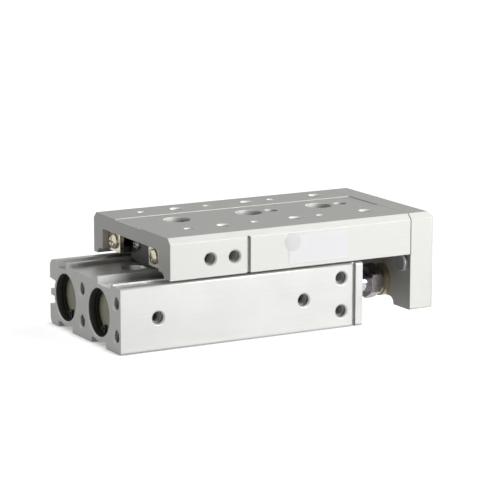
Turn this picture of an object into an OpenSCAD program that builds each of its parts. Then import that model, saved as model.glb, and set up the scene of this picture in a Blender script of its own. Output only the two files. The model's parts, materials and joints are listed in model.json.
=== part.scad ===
// Pneumatic slide table: a twin-rod air cylinder body carries a table on a cross-roller guide.
// X runs along the slide and +X is the way it extends, +Y is the sensor side, Z is up.
// The origin is the centre of the body's bottom face. Sizes are in millimetres.

/* [Travel] */
// Full travel of the table
stroke = 50; // [40:1:50]
// How far the table is drawn out of its home position
shown_extension = 17.7; // [1:0.1:25]
// Gap left between the body and the end plate at home
retract_gap = 2.1; // [1.2:0.1:4]
// Clearance left where a moving piece meets its stop
stop_clear = 0.3; // [0.2:0.05:0.5]

/* [Body] */
// Length of the body
body_l = 99; // [97:0.5:104]
// Width of the body
body_w = 59; // [57.5:0.5:61]
// Height of the body's outer lobes
body_h = 24.4; // [24:0.1:25]
// How far the bores and the guide sit towards the sensor side
works_y = 2.3; // [1:0.1:2.6]
// Top width of an outer lobe
lobe_w = 5.9; // [5.2:0.1:6.2]
// Run of the slope on a lobe's inner side
lobe_slope = 1.6; // [1:0.1:1.8]
// Height of the shoulder outside the port-side lobe's lip
shoulder_z = 23.8; // [23.4:0.1:24.2]
// Width of the lip on the port-side lobe
lip_w = 1.2; // [0.8:0.1:1.6]
// Height of the channel floors beside the fins
channel_z = 22.3; // [22:0.1:22.8]
// Height of the floor that carries the guide block
floor_z = 23.6; // [23.2:0.1:23.8]
// Height of the two fins that locate the guide block
fin_z = 25; // [24.5:0.1:25.4]
// Thickness of a fin
fin_t = 2; // [1.4:0.1:2.4]
// Corner radius on the sensor side, top
round_far_top = 3; // [2:0.1:3.4]
// Corner radius on the sensor side, bottom
round_far_low = 2.4; // [1.5:0.1:3]
// Corner radius on the port side
round_near = 0.8; // [0.4:0.1:1.2]

/* [Cylinders] */
// Diameter of the cylinder bores
bore_d = 16; // [15:0.1:16.4]
// Distance between the cylinder bores
bore_pitch = 28; // [27:0.5:28.5]
// Height of the bore axes
cyl_z = 12; // [11.8:0.1:12.4]
// Diameter of the seats for the head caps and rod covers
seat_d = 17.4; // [17.2:0.1:17.8]
// Depth from the rear face to the head caps
cap_recess = 4; // [3:0.1:5]
// Length of a head cap
cap_l = 7; // [6:0.1:8]
// Depth from the front face to the rod covers
cover_recess = 9.5; // [9:0.1:10]
// Length of a rod cover
cover_l = 10.5; // [9.5:0.1:11]
// Diameter of the piston rods
rod_d = 8; // [7:0.1:8.5]
// Length of a piston
piston_l = 10; // [9:0.1:11]
// Radial clearance of sliding and seated round pieces
round_clear = 0.05; // [0.03:0.01:0.1]
// Thickness of the retaining rings
ring_t = 1; // [0.8:0.1:1.2]
// Depth of the retaining ring grooves
ring_groove = 0.4; // [0.3:0.05:0.45]
// Wall left outside the retaining ring grooves
boss_wall = 0.4; // [0.3:0.05:0.6]

/* [Side and end holes] */
// Distance of the rear air port from the rear face
port_rear_x = 14.8; // [13.8:0.1:15]
// Distance of the front air port from the front face
port_front_x = 25; // [24.5:0.1:27]
// Distance of the two side holes from the front face
side_hole_x = 9.1; // [8:0.1:11]
// Height of the two side holes above and below the bore axis
side_hole_z = 6.2; // [5.5:0.1:6.6]
// Distance of the body's key groove from the front face
body_key_x = 3.8; // [3:0.1:5]
// Distance between the rear face holes, up and down
rear_hole_pitch = 11.8; // [11:0.1:12]
// Core diameter of an M5 thread
m5_core = 4.2; // [4:0.1:4.4]
// Mouth diameter of an M5 hole
m5_mouth = 5.4; // [5:0.1:5.8]
// Width of the key grooves
key_w = 1.5; // [1:0.1:2]
// Depth of the key grooves
key_depth = 1.2; // [0.6:0.1:1.6]

/* [Mounting holes in the body] */
// Core diameter of the M6 mounting threads
mount_core = 5.2; // [5:0.1:5.4]
// Diameter of the screw head seats
mount_seat_d = 9; // [8.8:0.1:9.4]
// Height of the screw head seats
mount_seat_z = 17.6; // [17:0.1:18.4]
// Diameter of the two locating pin holes in the bottom
foot_pin_d = 4; // [3:0.1:4.4]
// Depth of the locating pin holes in the bottom
foot_pin_depth = 4; // [3:0.1:5]

/* [Table] */
// Length of the table
table_l = 100; // [98:0.5:104]
// Width of the table
table_w = 62; // [61:0.5:64]
// Height of the table's top above the body's bottom
total_h = 40; // [39.4:0.1:42]
// Gap between the body's lobes and the table
table_gap = 0.5; // [0.4:0.1:1]
// Thickness of the table's top
table_top_t = 5.5; // [5:0.1:5.8]
// Thickness of the table's wall on the port side
near_wall_t = 9.1; // [8.4:0.1:9.6]
// Chamfer along the table's top edges
table_chamfer = 2.1; // [1:0.1:2.6]
// Width of the relief at the foot of each wall
relief_w = 4.2; // [3:0.1:4.6]
// Height of the relief at the foot of each wall
relief_h = 2.1; // [1:0.1:2.1]
// Width of the shallow recess along the top
top_recess_w = 21; // [16:0.5:24]
// Depth of the shallow recess along the top
top_recess_depth = 0.25; // [0.15:0.05:0.4]
// Distance of the first pair of M5 holes from the table's rear
work_hole_x = 29.5; // [28:0.1:30]
// Distance between the M5 holes along the table
work_hole_pitch = 30; // [28:0.1:30]
// Distance between the two rows of holes
row_pitch = 37; // [36.4:0.1:37]
// Distance of the first rail screw from the table's rear
rail_screw_x = 15; // [14:0.1:16]
// Distance between the rail screws
rail_screw_pitch = 27.5; // [27:0.1:27.8]
// Distance of the first access hole from the table's rear
access_x = 20; // [19.6:0.1:21]
// Distance between the access holes
access_pitch = 30; // [29:0.1:30.4]
// Diameter of the access holes
access_d = 10; // [9.6:0.1:10.4]
// Diameter of the two pin holes in the top
work_pin_d = 5; // [4:0.1:5.6]
// Distance of the first side hole from the table's rear
wall_hole_x = 16; // [14:0.1:17]
// Distance between the two side holes
wall_hole_pitch = 9.8; // [9:0.1:10.4]
// Height of the two side holes
wall_hole_z = 31.3; // [30:0.1:32]
// Distance of the table's key groove from its rear
table_key_x = 31.5; // [30:0.1:34]
// Distance from the top to the end of the table's key groove
table_key_top = 1.7; // [0.5:0.1:4]

/* [End plate] */
// Thickness of the end plate
plate_t = 10.7; // [9.5:0.1:11.5]
// Height of the end plate's two legs above the body's bottom
leg_z = 3.7; // [3.2:0.1:5]
// Height of the end plate's lower edge between the legs
mid_z = 6.5; // [6.2:0.1:7.2]
// Width of each leg
leg_w = 11.4; // [10:0.1:12]
// Radius on the end plate's outer upright edges
plate_round = 2; // [0.5:0.1:2.5]
// Distance of the stop screw from the port side of the end plate
stop_inset = 4.8; // [4.4:0.1:5.4]
// Height of the stop screw
stop_z = 21.2; // [20.4:0.1:21.6]
// Diameter of the stop screw's tip
stop_tip_d = 6.8; // [6:0.1:7.4]

/* [Guide] */
// Half width of the guide block
guide_half = 11.4; // [10.8:0.1:11.4]
// Gap between the guide block and a rail
guide_gap = 0.8; // [0.7:0.05:0.9]
// Width of a rail
rail_w = 9; // [8.9:0.1:9.4]
// Height of a rail
rail_h = 7.8; // [7.2:0.1:8]
// Diameter of the rollers
roller_d = 3; // [2.6:0.1:3.2]
// Rollers in each cage
roller_n = 8; // [4:1:8]
// Distance between the rollers
roller_pitch = 4.2; // [3.9:0.1:4.3]
// Running clearance between a roller and its groove
roller_clear = 0.03; // [0.02:0.01:0.06]
// Distance of the roller stoppers from the ends of the table
stopper_inset = 2.5; // [2.2:0.1:3.4]
// Thickness of the roller stoppers
stopper_t = 1.5; // [1:0.1:1.8]
// Thickness of the plates on the guide block's ends
guide_plate_t = 1; // [0.8:0.1:1.2]
// Distance of the guide block's front plate from the body's front face
guide_front = 4.5; // [4:0.1:6]
// Thickness of a roller cage
cage_t = 0.4; // [0.3:0.05:0.45]

/* [Label] */
// Distance of the blank label from the table's rear
label_x = 48; // [36:0.5:60]
// Length of the blank label
label_l = 24.5; // [10:0.5:26]
// Height of the blank label
label_h = 10.4; // [5:0.1:10.8]

/* [Hidden] */
$fn = 64;
over = 1;                                   // how far a cutter runs past a face
near = -1;                                  // port side
far = 1;                                    // sensor side

// Places along the slide
rear = -body_l / 2;
front = body_l / 2;
plate_x = front + retract_gap + shown_extension;
table_rear = plate_x - table_l;
home_rear = table_rear - shown_extension;

// Heights
table_z = body_h + table_gap;
ceiling_z = total_h - table_top_t;

// Cylinder internals, along X
cap_x = rear + cap_recess;
cover_end = front - cover_recess;
cover_x = cover_end - cover_l;
bumper_seat = 1;                            // depth of the bumper's seat in the rod cover
bumper_out = 1.4;                           // how far the bumper stands out of the rod cover
bumper_d = 12;
piston_front = cover_x - bumper_out - stop_clear - (stroke - shown_extension);
piston_x = piston_front - piston_l;
rod_stub_d = rod_d - 2;                     // the end of the rod that the piston sits on
groove_r = seat_d / 2 + ring_groove;
boss_r = groove_r + boss_wall;
o_ring_t = 1.5;                             // thickness of the static O-rings
seal_l = 3;                                 // length of a rod seal
seal_wall = 2;                              // from the rod to the outside of its seal

// Sensor grooves, seen from the end
groove_deep = 5;                            // from the side to the back of the grooves
groove_half = 4.6;                          // from the bore axis to the grooves' outer edges
groove_flare = 0.6;                         // how far the upper groove opens towards the side
groove_tab_t = 2.4;                         // tab between the two grooves
groove_tab_in = 0.8;                        // how far the tab stays back from the side

// Rod ends, along X from the end plate
bush_flange_t = 2.2;
bush_flange_d = 12;
bush_shank_d = 8.8;
washer_t = 1.7;
washer_d = 11;
collar_t = 4.3;
collar_af = 11.6;
rod_end = plate_x - bush_flange_t - washer_t - collar_t;
bolt_d = 5;                                 // M5 rod end bolts
bolt_head_d = 8.5;
bolt_head_t = 5;
bolt_seat_t = 4;                            // end plate left under the bolt head
bolt_reach = 14;                            // bolt behind the end plate's inner face
rod_hole = 8;                               // depth of the threaded hole in the rod's end

// Guide, across Y from works_y
roller_t = guide_half + guide_gap / 2;
rail_in = guide_half + guide_gap;
rail_out = rail_in + rail_w;
guide_z = ceiling_z - rail_h / 2;
v_half = (roller_d / 2 + roller_clear) * sqrt(2);
fin_in = guide_half + 0.1;
far_wall_y = works_y + rail_out;
near_wall_y = -table_w / 2 + near_wall_t;
row_y = row_pitch / 2;

// Guide, along X
rail_x = table_rear + stopper_inset + stopper_t;
rail_end = plate_x - stopper_inset - stopper_t;
block_x = mount_x(0) + mount_seat_d / 2 + 0.1 + guide_plate_t;
block_end = front - guide_front - guide_plate_t;
cage_l = roller_n * roller_pitch + 2.4;
cage_mid = (rail_x + stroke - shown_extension + block_end) / 2 - (stroke - shown_extension) / 2;
cage_h = 2 * v_half + 1.4;
guide_bolt_y = 6.2;
guide_bolt_in = 6.4;                        // from an end of the block to its first bolt
end_screw_y = 6;                            // place of a guide end screw across the guide
stopper_screw_y = 16.1;                     // place of a stopper screw across the guide

// Screws: core of the hole, clearance hole, head, and how deep the head sits or the thread reaches
thread_slack = 0.02;                        // how much thinner a screw is than its core hole
m3_core = 2.5;
m3_clear = 3.2;
guide_head_d = 5.5;                         // M3 bolts of the guide block
guide_head_t = 3;
guide_head_seat = 3.3;
guide_thread = 4.6;
rail_head_d = 4.5;                          // low-head screws of the rails
rail_head_t = 2.4;
rail_head_seat = 2.7;
rail_thread = 4.2;
end_screw_core = 2.2;                       // screws of the guide's end plates
end_screw_head_d = 4;
end_screw_head_t = 1.3;
end_screw_reach = 3.6;
stopper_head_d = 5.8;                       // cross-head screws of the roller stoppers
stopper_head_t = 1.5;
stopper_reach = 5.3;
plate_head_d = 5.5;                         // M3 bolts of the end plate
plate_head_t = 3;
plate_head_seat = 3.4;
plate_thread = 8;
tool_hole_dy = 8;                           // M5 holes in the end plate's outer face
tool_hole_z = [21, 31];
tool_hole_depth = 8;
rear_hole_depth = 11;
side_hole_depth = 7;

function mount_x(i) = home_rear + access_x + i * access_pitch;
function bore_y(side) = works_y + side * bore_pitch / 2;

// ---------- shared shapes ----------

// A YZ outline made solid from x for a length
module along_x(x, length) {
    translate([x, 0, 0]) rotate([90, 0, 90]) linear_extrude(length) children();
}

// A round bar along +X
module bar_x(x, y, z, length, d) {
    translate([x, y, z]) rotate([0, 90, 0]) cylinder(h = length, d = d);
}

// A cone along +X
module cone_x(x, y, z, length, d1, d2) {
    translate([x, y, z]) rotate([0, 90, 0]) cylinder(h = length, d1 = d1, d2 = d2);
}

// A turned ring along +X
module ring_x(x, y, z, length, d, hole) {
    difference() {
        bar_x(x, y, z, length, d);
        bar_x(x - over, y, z, length + 2 * over, hole);
    }
}

// An outline, drawn as radius and height, turned about a line along +X
module turned_x(x, y, z) {
    translate([x, y, z]) rotate([0, 90, 0]) rotate_extrude() children();
}

// The waste outside a rounded corner of radius r, in the quarter away from the centre
module corner_waste(x, y, r, sx, sy) {
    translate([x - sx * r, y - sy * r]) difference() {
        translate([sx > 0 ? 0 : -r - over, sy > 0 ? 0 : -r - over]) square(r + over);
        circle(r);
    }
}

// A tapped hole with a chamfered mouth, drilled along +X from x
module tapped_x(x, y, z, depth, core, mouth) {
    bar_x(x - over, y, z, depth + over, core);
    cone_x(x - 0.01, y, z, (mouth - core) / 2, mouth, core);
}

// A tapped hole with a chamfered mouth, drilled along +Y from y
module tapped_y(x, y, z, depth, core, mouth) {
    translate([x, y - over, z]) rotate([-90, 0, 0]) cylinder(h = depth + over, d = core);
    translate([x, y - 0.01, z]) rotate([-90, 0, 0])
        cylinder(h = (mouth - core) / 2, d1 = mouth, d2 = core);
}

// A hole down through the table's top, with a chamfered mouth
module top_hole(x, y, core, mouth) {
    translate([x, y, ceiling_z - over]) cylinder(h = table_top_t + 2 * over, d = core);
    translate([x, y, total_h - (mouth - core) / 2])
        cylinder(h = (mouth - core) / 2 + 0.01, d1 = core, d2 = mouth);
}

// A socket-head screw whose head stands on z and whose shank points down
module cap_screw(x, y, z, head_d, head_t, d, length, key) {
    translate([x, y, z]) difference() {
        union() {
            cylinder(h = head_t, d = head_d);
            translate([0, 0, -length]) cylinder(h = length + 0.1, d = d);
        }
        translate([0, 0, head_t - head_t / 2]) cylinder(h = head_t, d = key / cos(30), $fn = 6);
    }
}

// ---------- body ----------

module body_outline() {
    half = body_w / 2;
    lobe_in = half - lobe_w;
    channel = lobe_in - lobe_slope;
    fin_out = fin_in + fin_t;
    difference() {
        polygon([[-half, 0], [half, 0], [half, body_h], [lobe_in, body_h], [channel, channel_z],
            [works_y + fin_out, channel_z], [works_y + fin_out, fin_z],
            [works_y + fin_in, fin_z], [works_y + fin_in, floor_z],
            [works_y - fin_in, floor_z], [works_y - fin_in, fin_z],
            [works_y - fin_out, fin_z], [works_y - fin_out, channel_z],
            [lip_w - channel, channel_z], [lip_w - lobe_in, body_h], [-lobe_in, body_h],
            [-lobe_in, shoulder_z], [-half, shoulder_z]]);
        corner_waste(half, body_h, round_far_top, 1, 1);
        corner_waste(half, 0, round_far_low, 1, -1);
        corner_waste(-half, shoulder_z, round_near, -1, 1);
        corner_waste(-half, 0, round_near, -1, -1);
        sensor_grooves(half);
        for (side = [near, far]) foot_recess(side);
    }
}

// Two grooves for sensors along the far side, with the cylinder's round wall as their bottom
module sensor_grooves(half) {
    difference() {
        polygon([[half - groove_deep, cyl_z - groove_half], [half + over, cyl_z - groove_half],
            [half + over, cyl_z + groove_half + groove_flare],
            [half, cyl_z + groove_half + groove_flare], [half - groove_deep, cyl_z + groove_half]]);
        translate([bore_y(far), cyl_z]) circle(boss_r);
        translate([bore_y(far), cyl_z - groove_tab_t / 2])
            square([half - groove_tab_in - bore_y(far), groove_tab_t]);
    }
}

// A shallow recess along the bottom, with the cylinder's round wall showing in it
module foot_recess(side) {
    recess_w = 11.8;
    recess_depth = 2.1;
    difference() {
        translate([bore_y(side) - recess_w / 2, -over]) square([recess_w, recess_depth + over]);
        translate([bore_y(side), cyl_z]) circle(cyl_z - recess_depth + 0.6);
    }
}

module cylinder_bore(side) {
    y = bore_y(side);
    chamfer = 0.4;
    bar_x(rear - over, y, cyl_z, body_l + 2 * over, bore_d);
    bar_x(rear - over, y, cyl_z, cap_recess + cap_l + over, seat_d);
    bar_x(cover_x, y, cyl_z, cover_l + cover_recess + over, seat_d);
    cone_x(rear - 0.01, y, cyl_z, chamfer, seat_d + 2 * chamfer, seat_d);
    cone_x(front - chamfer, y, cyl_z, chamfer + 0.01, seat_d, seat_d + 2 * chamfer);
    bar_x(cap_x - ring_t - 0.1, y, cyl_z, ring_t + 0.1, 2 * groove_r);
    bar_x(cover_end, y, cyl_z, ring_t + 0.1, 2 * groove_r);
}

// Port thread, its passage into the near cylinder and the passage on to the far one
module air_port(x, inner_x) {
    port_depth = 5.5;
    passage_d = 1.6;
    start = [x, -body_w / 2 + port_depth - 0.5];
    finish = [inner_x, bore_y(near) - bore_d / 2 + 1];
    run = finish - start;
    tapped_y(x, -body_w / 2, cyl_z, port_depth, m5_core, m5_mouth);
    translate([start.x, start.y, cyl_z]) rotate([0, 0, atan2(run.y, run.x)])
        rotate([0, 90, 0]) cylinder(h = norm(run), d = passage_d);
    translate([inner_x, bore_y(near), cyl_z]) rotate([-90, 0, 0])
        cylinder(h = bore_pitch, d = passage_d);
}

module body_mount(i) {
    translate([mount_x(i), works_y, -over]) cylinder(h = body_h + 2 * over, d = mount_core);
    translate([mount_x(i), works_y, mount_seat_z]) cylinder(h = body_h, d = mount_seat_d);
}

module guide_bolt_places() {
    step = (block_end - block_x - 2 * guide_bolt_in) / 2;
    for (i = [0:2], side = [near, far])
        translate([block_x + guide_bolt_in + i * step, works_y + side * guide_bolt_y, 0]) children();
}

module body() color([0.83, 0.83, 0.81]) {
    difference() {
        along_x(rear, body_l) body_outline();
        for (side = [near, far]) cylinder_bore(side);
        for (dy = [0, -bore_pitch], dz = [-1, 1])
            tapped_x(rear, works_y + dy, cyl_z + dz * rear_hole_pitch / 2, rear_hole_depth,
                m5_core, m5_mouth);
        air_port(rear + port_rear_x, rear + port_rear_x);
        air_port(front - port_front_x, cover_x - bumper_out - stop_clear);
        for (dz = [-1, 1])
            tapped_y(front - side_hole_x, -body_w / 2, cyl_z + 0.4 + dz * side_hole_z,
                side_hole_depth, m5_core, m5_mouth);
        translate([front - body_key_x - key_w / 2, -body_w / 2 - over, -over])
            cube([key_w, key_depth + over, body_h + 2 * over]);
        for (i = [0:2]) body_mount(i);
        guide_bolt_places() translate([0, 0, floor_z - guide_thread - 0.4])
            cylinder(h = guide_thread + 0.4 + over, d = m3_core);
        translate([mount_x(0.5), works_y, -over])
            cylinder(h = foot_pin_depth + over, d = foot_pin_d);
        foot_slot();
    }
}

// The second locating hole in the bottom, drawn out along X
module foot_slot() {
    stretch = 1;
    for (dx = [-stretch / 2, stretch / 2])
        translate([mount_x(1.5) + dx, works_y, -over])
            cylinder(h = foot_pin_depth + over, d = foot_pin_d);
    translate([mount_x(1.5) - stretch / 2, works_y - foot_pin_d / 2, -over])
        cube([stretch, foot_pin_d, foot_pin_depth + over]);
}

// ---------- cylinder internals on the body ----------

cap_d = seat_d - 2 * round_clear;
o_ring_bed = cap_d / 2 - o_ring_t + 0.1;    // floor radius of an O-ring groove

module head_cap(side) color([0.40, 0.40, 0.35]) {
    edge = 0.6;
    ring_at = cap_l * 0.55;
    turned_x(cap_x, bore_y(side), cyl_z) polygon([
        [0, 0], [cap_d / 2 - edge, 0], [cap_d / 2, edge], [cap_d / 2, ring_at - o_ring_t / 2],
        [o_ring_bed, ring_at - o_ring_t / 2], [o_ring_bed, ring_at + o_ring_t / 2],
        [cap_d / 2, ring_at + o_ring_t / 2], [cap_d / 2, cap_l - 0.3],
        [cap_d / 2 - 0.3, cap_l], [0, cap_l]]);
}

// A static O-ring squeezed between its groove and the seat
module o_ring(x, side) {
    mid_r = (o_ring_bed + seat_d / 2) / 2;
    turned_x(x, bore_y(side), cyl_z) translate([mid_r, 0])
        circle(d = seat_d / 2 - o_ring_bed - 0.04, $fn = 24);
}

module head_cap_ring(side) color([0.08, 0.08, 0.08]) o_ring(cap_x + cap_l * 0.55, side);

// An internal retaining ring: an open arc whose ends carry lugs with plier holes
module retaining_ring(x, side) {
    outer_r = groove_r - 0.03;
    web = 1.5;
    lug_r = 1.5;
    lug_at = seat_d / 2 - lug_r - 0.2;
    open_angle = 16;
    translate([x, bore_y(side), cyl_z]) rotate([0, 90, 0]) difference() {
        union() {
            difference() {
                cylinder(h = ring_t, r = outer_r);
                translate([0, 0, -over]) cylinder(h = ring_t + 2 * over, r = outer_r - web);
            }
            for (a = [-open_angle, open_angle]) rotate(a) translate([lug_at, 0, 0])
                cylinder(h = ring_t, r = lug_r);
        }
        for (a = [-open_angle, open_angle]) rotate(a) translate([lug_at - 0.2, 0, -over])
            cylinder(h = ring_t + 2 * over, d = 1.2);
        translate([outer_r / 2, -0.75, -over]) cube([outer_r, 1.5, ring_t + 2 * over]);
    }
}

module rear_retaining_ring(side) color([0.12, 0.12, 0.12])
    retaining_ring(cap_x - ring_t - 0.05, side);

module rod_cover(side) color([0.72, 0.66, 0.45]) {
    hole = rod_d / 2 + round_clear;
    ring_at = cover_l * 0.45;
    pocket = seal_l + 0.2;
    turned_x(cover_x, bore_y(side), cyl_z) polygon([
        [bumper_d / 2 + 0.05, 0], [cap_d / 2 - 0.3, 0], [cap_d / 2, 0.3],
        [cap_d / 2, ring_at - o_ring_t / 2], [o_ring_bed, ring_at - o_ring_t / 2],
        [o_ring_bed, ring_at + o_ring_t / 2], [cap_d / 2, ring_at + o_ring_t / 2],
        [cap_d / 2, cover_l], [rod_d / 2 + seal_wall, cover_l],
        [rod_d / 2 + seal_wall, cover_l - pocket], [hole, cover_l - pocket],
        [hole, bumper_seat], [bumper_d / 2 + 0.05, bumper_seat]]);
}

module rod_cover_ring(side) color([0.08, 0.08, 0.08]) o_ring(cover_x + cover_l * 0.45, side);

// A lip seal that wipes the rod
module rod_seal(side) color([0.10, 0.10, 0.10]) {
    outer = rod_d / 2 + seal_wall - 0.02;
    inner = rod_d / 2 + 0.02;
    lip_base = inner + seal_wall / 4;
    groove = inner + seal_wall / 2;
    turned_x(cover_end - seal_l, bore_y(side), cyl_z) polygon([
        [lip_base, 0], [outer, 0], [outer, seal_l], [groove, seal_l],
        [groove, seal_l * 0.6], [inner + 0.3, seal_l * 0.9], [inner, seal_l * 0.9],
        [inner, seal_l * 0.7]]);
}

module rod_bumper(side) color([0.85, 0.80, 0.55]) {
    turned_x(cover_x - bumper_out, bore_y(side), cyl_z) polygon([
        [rod_d / 2 + 0.5, 0.3], [rod_d / 2 + 0.8, 0], [bumper_d / 2 - 0.4, 0],
        [bumper_d / 2, 0.4], [bumper_d / 2, bumper_out + bumper_seat],
        [rod_d / 2 + 0.5, bumper_out + bumper_seat]]);
}

module front_retaining_ring(side) color([0.12, 0.12, 0.12])
    retaining_ring(cover_end + 0.05, side);

// ---------- guide block on the body ----------

module v_groove(x, length, side, t) {
    along_x(x, length) translate([works_y + side * t, guide_z]) rotate(45)
        square(v_half * sqrt(2), center = true);
}

block_top = ceiling_z - 0.5;

module guide_block() color([0.16, 0.16, 0.16]) {
    length = block_end - block_x;
    difference() {
        translate([block_x, works_y - guide_half, floor_z])
            cube([length, 2 * guide_half, block_top - floor_z]);
        for (side = [near, far]) v_groove(block_x - over, length + 2 * over, side, roller_t);
        for (i = [1:2]) translate([mount_x(i), works_y, floor_z - over])
            cylinder(h = block_top - floor_z + 2 * over, d = mount_seat_d + 0.5);
        guide_bolt_places() {
            translate([0, 0, floor_z - over]) cylinder(h = block_top, d = m3_clear);
            translate([0, 0, block_top - guide_head_seat])
                cylinder(h = block_top, d = guide_head_d + 0.3);
        }
        for (side = [near, far], x = [block_x - over, block_end - end_screw_reach - 0.4])
            bar_x(x, works_y + side * end_screw_y, guide_z, end_screw_reach + 0.4 + over,
                end_screw_core);
    }
}

module guide_block_bolts() color([0.13, 0.13, 0.13])
    guide_bolt_places() cap_screw(0, 0, block_top - guide_head_seat, guide_head_d, guide_head_t,
        m3_core - thread_slack, block_top - guide_head_seat - floor_z + guide_thread, m3_core);

module guide_end_plate(x) {
    half = guide_half - 0.1;
    low = floor_z + 0.3;
    difference() {
        translate([x, works_y - half, low]) cube([guide_plate_t, 2 * half, block_top - 0.2 - low]);
        for (side = [near, far])
            bar_x(x - over, works_y + side * end_screw_y, guide_z, guide_plate_t + 2 * over,
                end_screw_core + 0.5);
    }
}

module guide_end_plate_rear() color([0.10, 0.10, 0.10]) guide_end_plate(block_x - guide_plate_t);

module guide_end_plate_front() color([0.10, 0.10, 0.10]) guide_end_plate(block_end);

// A small button-head screw along X; dir is the way its shank points
module small_screw(x, y, z, dir, head_d, head_t, d, length) {
    translate([x, y, z]) rotate([0, 90 * dir, 0]) difference() {
        union() {
            cylinder(h = length, d = d);
            rotate_extrude() polygon([[0, -head_t], [head_d * 0.28, -head_t],
                [head_d / 2 - 0.15, -head_t * 0.45], [head_d / 2, 0], [0, 0]]);
        }
        for (a = [0, 90]) rotate(a) translate([-head_d * 0.27, -head_d * 0.07, -head_t - over])
            cube([head_d * 0.54, head_d * 0.14, over + head_t * 0.7]);
    }
}

module guide_end_screws() color([0.55, 0.55, 0.53]) {
    for (side = [near, far]) {
        y = works_y + side * end_screw_y;
        reach = guide_plate_t + end_screw_reach;
        d = end_screw_core - thread_slack;
        small_screw(block_x - guide_plate_t, y, guide_z, 1, end_screw_head_d, end_screw_head_t,
            d, reach);
        small_screw(block_end + guide_plate_t, y, guide_z, -1, end_screw_head_d,
            end_screw_head_t, d, reach);
    }
}

// ---------- table ----------

plate_bolt_low = table_z + 3.1;
plate_bolt_top = total_h - table_chamfer - plate_head_d / 2 - 0.1;
plate_bolt_out = 0.3;                       // how far the bolts sit outside the walls' middles

module table_outline() {
    half = table_w / 2;
    difference() {
        polygon([[-half, table_z], [half, table_z], [half, total_h - table_chamfer],
            [half - table_chamfer, total_h], [-half + table_chamfer, total_h],
            [-half, total_h - table_chamfer]]);
        translate([near_wall_y, table_z - over])
            square([far_wall_y - near_wall_y, ceiling_z - table_z + over]);
        for (wall = [[near_wall_y, -1], [far_wall_y, 1]]) wall_relief(wall[0], wall[1]);
        translate([works_y - top_recess_w / 2, total_h - top_recess_depth])
            square([top_recess_w, top_recess_depth + over]);
    }
}

// The rounded step at the foot of a wall, on its inner side
module wall_relief(y, side) {
    flat = relief_w - relief_h;
    translate([y + side * flat, table_z]) circle(relief_h);
    translate([side > 0 ? y - over : y - flat, table_z - over])
        square([flat + over, relief_h + over]);
}

function work_x(i) = table_rear + work_hole_x + i * work_hole_pitch;

module rail_screw_places(sides) {
    for (i = [0:2], side = sides)
        translate([table_rear + rail_screw_x + i * rail_screw_pitch, works_y + side * row_y, 0])
            children();
}

// The four screws that hold the end plate, two in the end of each wall
plate_bolts = [for (y = [(near_wall_y - table_w / 2) / 2 - plate_bolt_out,
    (far_wall_y + table_w / 2) / 2 + plate_bolt_out], z = [plate_bolt_low, plate_bolt_top]) [y, z]];

module table() color([0.80, 0.80, 0.78]) {
    difference() {
        along_x(table_rear, table_l) table_outline();
        for (i = [0:2], side = [near, far])
            top_hole(work_x(i), works_y + side * row_y, m5_core, m5_mouth);
        for (i = [1:2]) top_hole(work_x(i), works_y, work_pin_d, work_pin_d + 0.5);
        rail_screw_places([near, far]) top_hole(0, 0, m3_core, m3_core + 1);
        for (i = [0:2])
            top_hole(table_rear + access_x + i * access_pitch, works_y, access_d, access_d + 0.8);
        for (i = [0:1])
            tapped_y(table_rear + wall_hole_x + i * wall_hole_pitch, -table_w / 2, wall_hole_z,
                side_hole_depth, m5_core, m5_mouth);
        table_key();
        for (p = plate_bolts)
            bar_x(plate_x - plate_thread - 1, p[0], p[1], plate_thread + 1 + over, m3_core);
    }
}

module table_key() {
    x = table_rear + table_key_x;
    top = total_h - table_key_top - key_w / 2;
    translate([x - key_w / 2, -table_w / 2 - over, table_z - over])
        cube([key_w, key_depth + over, top - table_z + over]);
    translate([x, -table_w / 2 - over, top]) rotate([-90, 0, 0])
        cylinder(h = key_depth + over, d = key_w);
}

module name_label() color([0.95, 0.95, 0.95]) {
    label_t = 0.1;
    translate([table_rear + label_x, -table_w / 2 - label_t, table_z + 1.6])
        cube([label_l, label_t, label_h]);
}

// ---------- end plate ----------

module plate_outline() {
    half = table_w / 2;
    rise = mid_z - leg_z;
    inner = half - leg_w;
    difference() {
        polygon([[-half, leg_z], [half, leg_z], [half, total_h - table_chamfer],
            [half - table_chamfer, total_h], [-half + table_chamfer, total_h],
            [-half, total_h - table_chamfer]]);
        translate([-inner + rise, leg_z - over]) square([2 * (inner - rise), rise + over]);
        for (side = [near, far]) translate([side * (inner - rise), leg_z]) circle(rise);
        for (side = [near, far]) corner_waste(side * half, leg_z, 0.8, side, -1);
    }
}

stop_y = -table_w / 2 + stop_inset;
stop_thread = 6;
stop_key = 3;

module end_plate() color([0.78, 0.78, 0.76]) {
    head_recess = plate_t - bolt_seat_t;
    difference() {
        along_x(plate_x, plate_t) plate_outline();
        translate([plate_x + plate_t, 0, leg_z - over]) linear_extrude(total_h)
            for (side = [near, far]) corner_waste(0, side * table_w / 2, plate_round, 1, side);
        translate([plate_x + plate_t, 0, total_h - table_chamfer]) rotate([0, 45, 0])
            translate([-2 * table_chamfer, -table_w, 0])
                cube([3 * table_chamfer, 2 * table_w, 2 * table_chamfer]);
        for (side = [near, far]) {
            bar_x(plate_x - over, bore_y(side), cyl_z, plate_t, bush_shank_d + 2 * round_clear);
            bar_x(plate_x + bolt_seat_t, bore_y(side), cyl_z, head_recess + over, bolt_head_d + 0.5);
        }
        bar_x(plate_x - over, stop_y, stop_z, plate_t + 2 * over, stop_thread + thread_slack);
        for (p = plate_bolts) {
            bar_x(plate_x - over, p[0], p[1], plate_t, m3_clear);
            bar_x(plate_x + plate_t - plate_head_seat, p[0], p[1], plate_head_seat + over,
                plate_head_d + 0.2);
        }
        for (side = [near, far], z = tool_hole_z)
            bar_x(plate_x + plate_t - tool_hole_depth, works_y + side * tool_hole_dy, z,
                tool_hole_depth + over, m5_core);
    }
}

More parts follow.
